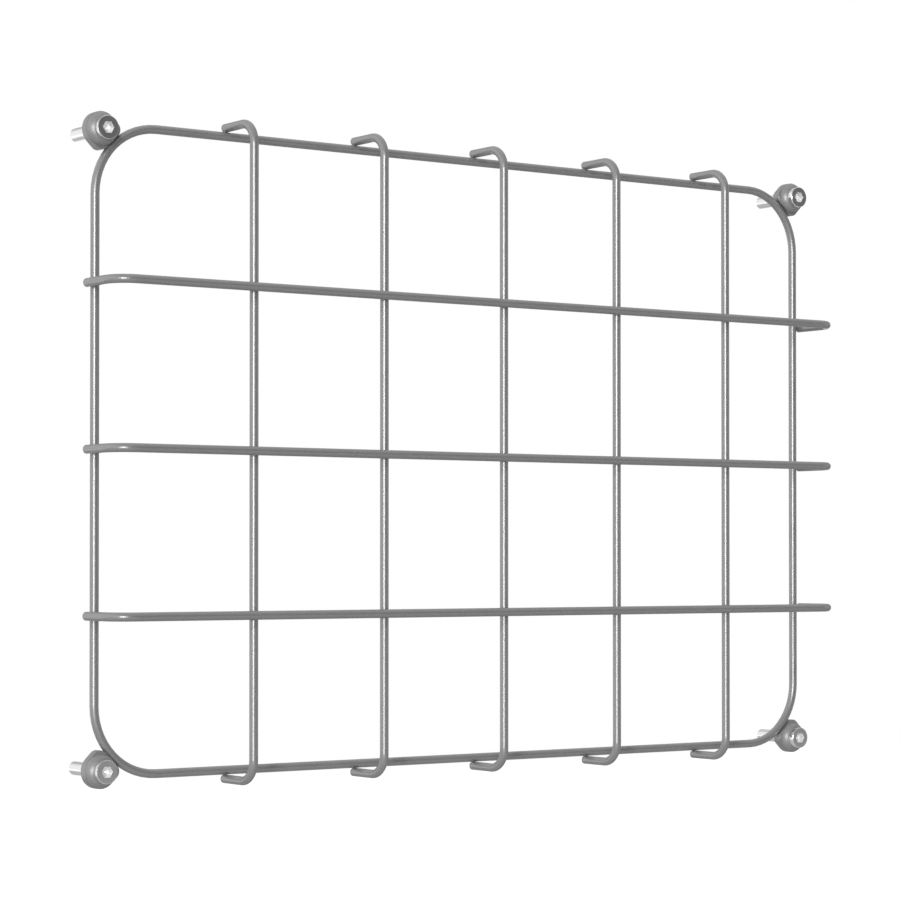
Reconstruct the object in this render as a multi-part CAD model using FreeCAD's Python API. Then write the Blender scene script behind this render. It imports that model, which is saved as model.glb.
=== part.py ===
import FreeCAD, Part
import math
import os

# Wire guard for a rectangular bulkhead lamp.
# A ring of round wire follows the rim of the lamp. Upright and cross wires, each bent to a
# shallow U, stand over the lens with their legs welded to the outside of the ring. A lug at
# each corner of the ring takes a socket cap screw that holds the guard to the lamp housing.
#
# Frame: X to the right, Z up, the front of the guard towards -Y. The plane y = 0 is the seat,
# where the ring and the lugs lie on the housing, and the origin is the middle of the four screws.

# Wire and ring
wire_d = 3.25             # every wire of the guard
ring_w = 336.4            # left run to right run, between wire centres
ring_h = 233.9            # bottom run to top run, between wire centres
ring_corner_r = 25.0      # at the wire centre

# Bent wires over the lens
inner_upright_count = 3
inner_upright_pitch = 56.0
upright_inset = 54.9      # ring's side run to the outermost upright
cross_inset = 57.35       # ring's top run to the top cross wire
cage_height = 21.0        # seat to the wire centre of the uprights' front run
bend_r = 8.0              # of the U bends, at the wire centre
cross_leg_lift = 1.6      # seat to the ends of the cross wires' legs
end_break = 0.3           # chamfer on the sheared wire ends
weld_gap = 0.02           # between two surfaces held by a weld

# Socket cap screw, M5 x 20
screw_d = 5.0             # over the thread
screw_length = 20.0       # under the head
neck_d = 4.5              # of the plain neck between the head and the thread
thread_lead = 0.2         # seat to the start of the full thread
head_d = 8.6
head_height = 4.9
head_chamfer = 0.2
socket_af = 4.0           # across the flats of the hexagon
socket_depth = 2.5
drill_angle = 120.0       # of the cone at the bottom of the socket
point_chamfer = 0.45      # at the free end of the shank

# Corner lug: a round dome, bored for the screw head, on a plate with a flat end
hole_clearance = 0.25     # between the thread and its hole, each side
bore_clearance = 0.02     # between the head and its bore, each side
seat_gap = 0.02           # under the head
lug_plate_t = 3.2
lug_wall = 2.03           # bore to the round outline
flat_depth = 0.35         # round outline to the flat end, on the ring
lug_corner_r = 3.0        # at the two ends of the flat
dome_rise = 2.95          # plate to the height where the dome would close
dome_r = 3.8              # of the dome's round edge

# Derived sizes
wire_r = wire_d / 2
half_w = ring_w / 2
half_h = ring_h / 2
head_r = head_d / 2
thread_r = screw_d / 2
neck_r = neck_d / 2
bore_r = head_r + bore_clearance
lug_r = bore_r + lug_wall
lug_foot = lug_r - flat_depth

X = FreeCAD.Vector(1, 0, 0)
Y = FreeCAD.Vector(0, 1, 0)
Z = FreeCAD.Vector(0, 0, 1)
ORIGIN = FreeCAD.Vector(0, 0, 0)


def at(x, height, z):
    """Point of the guard, its height measured from the seat towards the front."""
    return FreeCAD.Vector(x, -height, z)


def quarter_arc(centre, start, end):
    to_middle = (start - centre) + (end - centre)
    middle = centre + to_middle.normalize() * (start - centre).Length
    return Part.Arc(start, middle, end).toShape()


def round_wire(edges, start, direction):
    """Solid wire along a path of straight runs and arcs."""
    section = Part.Wire(Part.makeCircle(wire_r, start, direction))
    return Part.Wire(edges).makePipeShell([section], True, False)


def perimeter_ring():
    """Closed ring of wire, bent round at each corner."""
    in_x, in_z = half_w - ring_corner_r, half_h - ring_corner_r
    corners = [(1, 1), (1, -1), (-1, -1), (-1, 1)]
    edges = []
    previous = at(-in_x, wire_r, half_h)
    for i, (sx, sz) in enumerate(corners):
        side_end = at(sx * half_w, wire_r, sz * in_z)
        level_end = at(sx * in_x, wire_r, sz * half_h)
        arc_start, arc_end = (level_end, side_end) if i % 2 == 0 else (side_end, level_end)
        edges.append(Part.makeLine(previous, arc_start))
        edges.append(quarter_arc(at(sx * in_x, wire_r, sz * in_z), arc_start, arc_end))
        previous = arc_end
    return round_wire(edges, at(-in_x, wire_r, half_h), X)


def u_wire(half_span, height, leg_lift, place):
    """Wire bent to a U with broken ends. place turns (along, height) into a point."""
    bend_s, bend_h = half_span - bend_r, height - bend_r
    points = [place(s, h) for s, h in [
        (-half_span, leg_lift), (-half_span, bend_h), (-bend_s, height),
        (bend_s, height), (half_span, bend_h), (half_span, leg_lift)]]
    edges = [
        Part.makeLine(points[0], points[1]),
        quarter_arc(place(-bend_s, bend_h), points[1], points[2]),
        Part.makeLine(points[2], points[3]),
        quarter_arc(place(bend_s, bend_h), points[3], points[4]),
        Part.makeLine(points[4], points[5])]
    wire = round_wire(edges, points[0], points[1] - points[0])
    end_y = points[0].y
    end_edges = [e for e in wire.Edges if all(abs(v.Point.y - end_y) < 1e-6 for v in e.Vertexes)]
    return wire.makeChamfer(end_break, end_edges)


def upright_wire(x):
    half_span = half_h + wire_d + weld_gap
    return u_wire(half_span, cage_height, 0.0, lambda s, h: at(x, h, s))


def cross_wire(z):
    """Cross wires lie in front of the uprights, so they stand one wire higher."""
    half_span = half_w + wire_d + weld_gap
    height = cage_height + wire_d + weld_gap
    return u_wire(half_span, height, cross_leg_lift, lambda s, h: at(s, h, z))


def upright_positions():
    outermost = half_w - upright_inset
    middle = (inner_upright_count - 1) / 2
    inner = [inner_upright_pitch * (i - middle) for i in range(inner_upright_count)]
    return [-outermost] + inner + [outermost]


def cross_positions():
    outermost = half_h - cross_inset
    return [-outermost, 0.0, outermost]


def turned(corners, rounded):
    """Solid of revolution about Z from (radius, z) corners that ends on the axis.

    rounded gives, by the corner's index, the radius of a square corner that is rounded.
    """
    points = [FreeCAD.Vector(r, 0, z) for r, z in corners]
    edges = []
    start = points[0]
    for i, point in enumerate(points[1:], 1):
        if i not in rounded:
            edges.append(Part.makeLine(start, point))
            start = point
            continue
        back = (points[i - 1] - point).normalize() * rounded[i]
        ahead = (points[i + 1] - point).normalize() * rounded[i]
        edges.append(Part.makeLine(start, point + back))
        edges.append(quarter_arc(point + back + ahead, point + back, point + ahead))
        start = point + ahead
    edges.append(Part.makeLine(start, points[0]))
    return Part.Face(Part.Wire(edges)).revolve(ORIGIN, Z, 360)


def d_prism(height):
    """Prism of the lug's outline: half round about Z, with a flat end towards -X."""
    flat = Part.makeBox(lug_foot, 2 * lug_r, height, FreeCAD.Vector(-lug_foot, -lug_r, 0))
    flat_ends = [e for e in flat.Edges
                 if all(abs(v.Point.x + lug_foot) < 1e-6 for v in e.Vertexes)
                 and abs(e.tangentAt(e.FirstParameter).z) > 0.9]
    flat = flat.makeFillet(lug_corner_r, flat_ends)
    half_round = Part.makeCylinder(lug_r, height, ORIGIN, Z, 180)
    half_round.rotate(ORIGIN, Z, -90)
    return flat.fuse(half_round).removeSplitter()


def corner_lug():
    """Domed lug, with the counterbore and the hole for the screw."""
    top = lug_plate_t + dome_rise
    dome = turned([(0, 0), (lug_r, 0), (lug_r, top), (0, top)], {2: dome_r})
    body = dome.common(d_prism(top)).fuse(d_prism(lug_plate_t)).removeSplitter()
    counterbore = Part.makeCylinder(bore_r, top, Z * lug_plate_t)
    hole = Part.makeCylinder(thread_r + hole_clearance, top)
    return body.cut(counterbore).cut(hole)


def hex_socket():
    """Hexagonal recess, a corner on the X axis, with a drilled bottom."""
    flat_r = socket_af / 2
    corner_r = flat_r / math.cos(math.radians(30))
    floor_z = head_height - socket_depth
    corners = [FreeCAD.Vector(corner_r * math.cos(a), corner_r * math.sin(a), floor_z)
               for a in (math.radians(60 * i) for i in range(7))]
    recess = Part.Face(Part.makePolygon(corners)).extrude(Z * head_height)
    cone_depth = flat_r / math.tan(math.radians(drill_angle / 2))
    drill = Part.makeCone(0, flat_r, cone_depth, Z * (floor_z - cone_depth))
    return recess.fuse(drill)


def cap_screw():
    """Screw along Z with its head upwards and the underside of the head at z = 0.

    The plain neck passes through the lug, and the thread starts just behind the seat.
    """
    thread_top = -(seat_gap + lug_plate_t + thread_lead)
    neck_bottom = thread_top + thread_r - neck_r
    body = turned(
        [(0, -screw_length), (thread_r - point_chamfer, -screw_length),
         (thread_r, point_chamfer - screw_length), (thread_r, thread_top),
         (neck_r, neck_bottom), (neck_r, 0), (head_r, 0),
         (head_r, head_height - head_chamfer), (head_r - head_chamfer, head_height),
         (0, head_height)], {})
    return body.cut(hex_socket())


def mounted(shape, angle, x, height, z):
    """Shape with its Z axis turned to the front, its X axis at an angle from X towards Z."""
    placed = shape.copy()
    placed.rotate(ORIGIN, X, 90)
    placed.rotate(ORIGIN, Y, -angle)
    placed.translate(at(x, height, z))
    return placed


def corner_stations():
    """Name, outward angle and screw position at each corner of the ring."""
    reach = (ring_corner_r + wire_r + weld_gap + lug_foot) / math.sqrt(2)
    x = half_w - ring_corner_r + reach
    z = half_h - ring_corner_r + reach
    return [("top_right", 45, x, z), ("top_left", 135, -x, z),
            ("bottom_left", 225, -x, -z), ("bottom_right", 315, x, -z)]


def all_nodes():
    nodes = {"perimeter_ring": perimeter_ring()}
    for i, x in enumerate(upright_positions(), 1):
        nodes[f"upright_wire_{i}"] = upright_wire(x)
    for i, z in enumerate(cross_positions(), 1):
        nodes[f"cross_wire_{i}"] = cross_wire(z)
    lug, screw = corner_lug(), cap_screw()
    for name, angle, x, z in corner_stations():
        nodes[f"corner_lug_{name}"] = mounted(lug, angle, x, 0, z)
        nodes[f"cap_screw_{name}"] = mounted(screw, 0, x, lug_plate_t + seat_gap, z)
    return nodes


os.makedirs("parts", exist_ok=True)
for node, shape in all_nodes().items():
    shape.exportStep(f"parts/{node}.step")
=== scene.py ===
import math

import bpy
from mathutils import Matrix, Vector

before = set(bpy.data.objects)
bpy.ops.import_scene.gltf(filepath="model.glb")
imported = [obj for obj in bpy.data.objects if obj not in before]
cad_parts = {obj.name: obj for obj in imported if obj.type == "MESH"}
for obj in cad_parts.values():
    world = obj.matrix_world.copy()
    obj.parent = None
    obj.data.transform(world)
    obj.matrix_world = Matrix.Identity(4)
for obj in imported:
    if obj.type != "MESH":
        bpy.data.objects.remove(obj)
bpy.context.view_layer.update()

# Camera that took the photograph, in metres in the guard's frame
CAMERA_AT = Vector((-0.646412, -0.889704, -0.039559))
CAMERA_YAW = 0.6204       # to the right of straight ahead, in radians
CAMERA_PITCH = 0.0157     # above level, in radians
CAMERA_NEAR = 0.01
CAMERA_FAR = 100
LENS_PX = 2797.89         # focal length in pixels of the photograph
FRAME_PX = 900            # width and height of the photograph
HORIZON_PX = 66.12        # the lens axis below the middle of the photograph
SENSOR_MM = 36.0

# Room: the grey of its walls, then of the sides that cover them, the later ones over the others.
# Each side has its direction and the cosines, roughly, at which its soft edge starts and ends.
WALL_GREY = 0.48
ROOM_SIDES = [
    (0.93, (-0.87, 0.50, 0.0), 0.35, 0.75),        # bright side, left and behind
    (0.95, (0.93, -0.36, 0.0), 0.94, 0.98),        # window, on the right
    (0.125, (0.309, -0.951, 0.0), 0.70, 0.88),     # unlit side, in front
    (0.80, (0.3, 0.3, 0.9), 0.78, 0.92),           # ceiling
]

# Backdrop, straight behind the guard as the camera sees it, with its edge as above
BACKDROP_SIDE = (0.58, 0.81, 0.0)
BACKDROP_START = 0.94
BACKDROP_END = 0.99

# Floor, in metres
FLOOR_Z = -0.75
FLOOR_SIZE = 14.0
FLOOR_GREY = 0.54
FLOOR_GLOW = 0.73         # added where the floor is seen as background
FLOOR_ROUGHNESS = 0.9
FLOOR_BACK = (-0.15, 0.99, 0.0)       # towards the part of the floor behind the guard
FLOOR_BACK_START = 1.7    # along it, where that part starts to show as background in a gloss
FLOOR_BACK_END = 2.3      # and from where it shows in full

# Lamps: angles in degrees to the left of the front and above level
LAMP_AWAY = 8.0           # from the middle of the guard
SOFT_BOX_AZIMUTH = 41.0
SOFT_BOX_RISE = 3.0
SOFT_BOX_WIDTH = 3.6
SOFT_BOX_HEIGHT = 3.4
SOFT_BOX_POWER = 380.0
TOP_LAMP_AZIMUTH = 48.0
TOP_LAMP_RISE = 40.0
TOP_LAMP_WIDTH = 0.8
TOP_LAMP_POWER = 272.0

# Clouds: slow changes of a finish's colour and gloss
CLOUD_SCALE = 0.06        # against the scale of the fine grain
CLOUD_LOW = 0.3           # most of the noise lies between low and high
CLOUD_HIGH = 0.7

# The screws stand in the corners of a rectangle. Their sockets run from the mouth to the end.
SCREW_X = 0.1662835
SCREW_Z = 0.1150335
SOCKET_MOUTH_Y = -0.00811
SOCKET_END_Y = -0.0044
SOCKET_R = 0.00233        # just over the hexagon's corners
SOCKET_EDGE = 0.00003     # width of the change from the turned steel to the socket's painted light
MARKS_PITCH = 0.00018     # of the turning marks


def add_camera():
    data = bpy.data.cameras.new("camera")
    data.sensor_width = SENSOR_MM
    data.lens = LENS_PX * SENSOR_MM / FRAME_PX
    data.shift_y = HORIZON_PX / FRAME_PX
    data.clip_start = CAMERA_NEAR
    data.clip_end = CAMERA_FAR
    camera = bpy.data.objects.new("camera", data)
    turn = Matrix.Rotation(-CAMERA_YAW, 4, "Z") @ Matrix.Rotation(math.pi / 2 + CAMERA_PITCH, 4, "X")
    camera.matrix_world = Matrix.Translation(CAMERA_AT) @ turn
    bpy.context.collection.objects.link(camera)
    bpy.context.scene.camera = camera


class Tree:
    """Node tree that is built a node at a time, each with its values and the links into it."""

    def __init__(self, tree):
        self.nodes = tree.nodes
        self.links = tree.links

    def add(self, kind, settings=None, **inputs):
        node = self.nodes.new(kind)
        for name, value in (settings or {}).items():
            setattr(node, name, value)
        self.fill(node, **inputs)
        return node

    def fill(self, node, **inputs):
        """Set inputs by name, or by place as i0, i1. An output given as the value is linked."""
        for name, value in inputs.items():
            key = int(name[1:]) if name[0] == "i" and name[1:].isdigit() else name.replace("_", " ")
            socket = node.inputs[key]
            if isinstance(value, bpy.types.NodeSocket):
                self.links.new(value, socket)
            else:
                socket.default_value = value


def grey(value):
    return (value, value, value, 1)


def mix(tree, factor, low, high):
    """Colour between low, at a factor of 0, and high, at 1."""
    node = tree.add("ShaderNodeMix", {"data_type": "RGBA"}, Factor=factor, A=low, B=high)
    return node.outputs["Result"]


def ramp(tree, value, start, end, low=0.0, high=1.0):
    """Smooth step from low, where the value is at start or before it, to high from end on."""
    node = tree.add("ShaderNodeMapRange", {"interpolation_type": "SMOOTHSTEP"},
                    Value=value, From_Min=start, From_Max=end, To_Min=low, To_Max=high)
    return node.outputs["Result"]


def between(tree, factor, low, high):
    """Number between low, at a factor of 0, and high, at 1."""
    return ramp(tree, factor, 0.0, 1.0, low, high)


def highest(tree, first, second):
    return tree.add("ShaderNodeMath", {"operation": "MAXIMUM"}, i0=first, i1=second).outputs[0]


def product(tree, first, second):
    return tree.add("ShaderNodeMath", {"operation": "MULTIPLY"}, i0=first, i1=second).outputs[0]


def new_group(name, inputs, outputs):
    """Group with its tree, what it is given and the node that its results go to."""
    group = bpy.data.node_groups.new(name, "ShaderNodeTree")
    for label, kind in inputs:
        group.interface.new_socket(label, in_out="INPUT", socket_type=kind)
    for label, kind in outputs:
        group.interface.new_socket(label, in_out="OUTPUT", socket_type=kind)
    tree = Tree(group)
    return group, tree, tree.add("NodeGroupInput").outputs, tree.add("NodeGroupOutput")


def grain_group():
    """Fine unevenness of a finish: its colour, its gloss and its surface."""
    group, tree, given, out = new_group(
        "grain",
        [("Place", "NodeSocketVector"), ("Fineness", "NodeSocketFloat"),
         ("Dark", "NodeSocketColor"), ("Light", "NodeSocketColor"),
         ("Smooth", "NodeSocketFloat"), ("Rough", "NodeSocketFloat")],
        [("Colour", "NodeSocketColor"), ("Roughness", "NodeSocketFloat"), ("Height", "NodeSocketFloat")])
    fine = tree.add("ShaderNodeTexNoise", Vector=given["Place"], Scale=given["Fineness"], Detail=4.0)
    wide = product(tree, given["Fineness"], CLOUD_SCALE)
    cloud = tree.add("ShaderNodeTexNoise", Vector=given["Place"], Scale=wide, Detail=3.0).outputs["Fac"]
    gloss = ramp(tree, cloud, CLOUD_LOW, CLOUD_HIGH, given["Smooth"], given["Rough"])
    tree.fill(out, Colour=mix(tree, cloud, given["Dark"], given["Light"]), Roughness=gloss,
              Height=fine.outputs["Fac"])
    return group


def turned_group():
    """Turning marks: rings about the nearest screw's axis, which runs along Y."""
    group, tree, given, out = new_group(
        "turning marks",
        [("Place", "NodeSocketVector"), ("Pitch", "NodeSocketFloat")],
        [("Radius", "NodeSocketFloat"), ("Height", "NodeSocketFloat")])
    mirrored = tree.add("ShaderNodeVectorMath", {"operation": "ABSOLUTE"}, i0=given["Place"])
    centred = tree.add("ShaderNodeVectorMath", {"operation": "SUBTRACT"},
                       i0=mirrored.outputs[0], i1=(SCREW_X, 0, SCREW_Z))
    across = tree.add("ShaderNodeVectorMath", {"operation": "MULTIPLY"},
                      i0=centred.outputs[0], i1=(1, 0, 1))
    radius = tree.add("ShaderNodeVectorMath", {"operation": "LENGTH"}, i0=across.outputs[0])
    turns = tree.add("ShaderNodeMath", {"operation": "DIVIDE"},
                     i0=radius.outputs["Value"], i1=given["Pitch"])
    ring = tree.add("ShaderNodeTexNoise", {"noise_dimensions": "1D"},
                    W=turns.outputs[0], Scale=1.0, Detail=2.0)
    tree.fill(out, Radius=radius.outputs["Value"], Height=ring.outputs["Fac"])
    return group


def new_material(name):
    """Material with its tree, its shader and the place on the object, in metres."""
    material = bpy.data.materials.new(name)
    material.use_nodes = True
    tree = Tree(material.node_tree)
    place = tree.add("ShaderNodeTexCoord").outputs["Object"]
    return material, tree, tree.nodes["Principled BSDF"], place


def guard_coat(name, grain, smooth, rough):
    """Satin grey metallic paint."""
    material, tree, shader, place = new_material(name)
    finish = tree.add("ShaderNodeGroup", {"node_tree": grain}, Place=place, Fineness=2600.0,
                      Dark=grey(0.268), Light=grey(0.284), Smooth=smooth, Rough=rough)
    bump = tree.add("ShaderNodeBump", Height=finish.outputs["Height"], Strength=0.05, Distance=0.00002)
    tree.fill(shader, Base_Color=finish.outputs["Colour"], Roughness=finish.outputs["Roughness"],
              Metallic=0.5, Normal=bump.outputs["Normal"])
    return material


def screw_steel(grain, turned):
    """Bright turned steel of the screws, with painted light in the socket: it is pale, rougher and less
    metallic there, as painted reflected light.
    """
    material, tree, shader, place = new_material("screw steel")
    finish = tree.add("ShaderNodeGroup", {"node_tree": grain}, Place=place, Fineness=4000.0,
                      Dark=grey(0.88), Light=grey(0.93), Smooth=0.16, Rough=0.21)
    marks = tree.add("ShaderNodeGroup", {"node_tree": turned}, Place=place, Pitch=MARKS_PITCH)
    along = tree.add("ShaderNodeSeparateXYZ", Vector=place).outputs["Y"]
    # Mask of the socket, where the steel is painted pale as painted reflected light in the recess
    sunk = product(tree, ramp(tree, along, SOCKET_MOUTH_Y, SOCKET_MOUTH_Y + SOCKET_EDGE),
                   ramp(tree, along, SOCKET_END_Y, SOCKET_END_Y - SOCKET_EDGE))
    inside = ramp(tree, marks.outputs["Radius"], SOCKET_R + SOCKET_EDGE, SOCKET_R)
    socket = product(tree, sunk, inside)
    bump = tree.add("ShaderNodeBump", Height=marks.outputs["Height"], Strength=0.1, Distance=0.00001)
    tree.fill(shader, Base_Color=mix(tree, socket, finish.outputs["Colour"], grey(0.85)),
              Roughness=between(tree, socket, finish.outputs["Roughness"], 0.4),
              Metallic=between(tree, socket, 1.0, 0.4), Normal=bump.outputs["Normal"])
    return material


def dress():
    grain = grain_group()
    wire_coat = guard_coat("wire coat", grain, smooth=0.27, rough=0.29)
    lug_coat = guard_coat("lug coat", grain, smooth=0.40, rough=0.44)
    steel = screw_steel(grain, turned_group())
    for name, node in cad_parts.items():
        if name.startswith("cap_screw"):
            finish = steel
        elif name.startswith("corner_lug"):
            finish = lug_coat
        else:
            finish = wire_coat
        node.data.materials.clear()
        node.data.materials.append(finish)


def seen_as_background(tree, behind):
    """1 for what is seen straight, through glass or, where it lies behind the guard, in a gloss."""
    path = tree.add("ShaderNodeLightPath").outputs
    mirrored = product(tree, path["Is Glossy Ray"], behind)
    return highest(tree, highest(tree, path["Is Camera Ray"], path["Is Transmission Ray"]), mirrored)


def towards(tree, place, side, start, end):
    """How far a place or a direction lies to a side: 0 up to start and 1 from end."""
    dot = tree.add("ShaderNodeVectorMath", {"operation": "DOT_PRODUCT"}, i0=place, i1=side)
    return ramp(tree, dot.outputs["Value"], start, end)


def add_world():
    """Room round the guard, with a white backdrop. A world's Generated coordinate is a direction."""
    world = bpy.data.worlds.new("studio")
    bpy.context.scene.world = world
    world.use_nodes = True
    tree = Tree(world.node_tree)
    place = tree.add("ShaderNodeTexCoord").outputs["Generated"]
    room = grey(WALL_GREY)
    for level, side, start, end in ROOM_SIDES:
        room = mix(tree, towards(tree, place, side, start, end), room, grey(level))
    behind = towards(tree, place, BACKDROP_SIDE, BACKDROP_START, BACKDROP_END)
    shown = mix(tree, seen_as_background(tree, behind), room, grey(1.0))
    tree.fill(tree.nodes["Background"], Color=shown)


def add_lamp(name, azimuth, rise, width, height, power):
    """Lamp that faces the guard, at angles in degrees to the left of the front and above level."""
    data = bpy.data.lights.new(name, "AREA")
    data.shape = "RECTANGLE"
    data.size = width
    data.size_y = height
    data.energy = power
    lamp = bpy.data.objects.new(name, data)
    side = math.radians(azimuth)
    up = math.radians(rise)
    direction = Vector((-math.sin(side) * math.cos(up), -math.cos(side) * math.cos(up), math.sin(up)))
    lamp.location = LAMP_AWAY * direction
    lamp.rotation_euler = lamp.location.to_track_quat("Z", "Y").to_euler()
    bpy.context.collection.objects.link(lamp)
    return lamp


def add_floor():
    bpy.ops.object.select_all(action="DESELECT")
    bpy.ops.mesh.primitive_plane_add(size=FLOOR_SIZE, location=(0, 0, FLOOR_Z))
    floor = bpy.context.object
    floor.name = "floor"
    bpy.ops.object.transform_apply(location=True)
    material, tree, shader, place = new_material("floor white")
    behind = towards(tree, place, FLOOR_BACK, FLOOR_BACK_START, FLOOR_BACK_END)
    tree.fill(shader, Base_Color=grey(FLOOR_GREY), Roughness=FLOOR_ROUGHNESS,
              Emission_Color=grey(FLOOR_GLOW), Emission_Strength=seen_as_background(tree, behind))
    floor.data.materials.append(material)


add_camera()
dress()
add_world()
add_lamp("soft box", SOFT_BOX_AZIMUTH, SOFT_BOX_RISE, SOFT_BOX_WIDTH, SOFT_BOX_HEIGHT, SOFT_BOX_POWER)
top_lamp = add_lamp("top lamp", TOP_LAMP_AZIMUTH, TOP_LAMP_RISE, TOP_LAMP_WIDTH, TOP_LAMP_WIDTH,
                    TOP_LAMP_POWER)
top_lamp.visible_glossy = False
add_floor()
bpy.context.scene.view_settings.view_transform = "Standard"
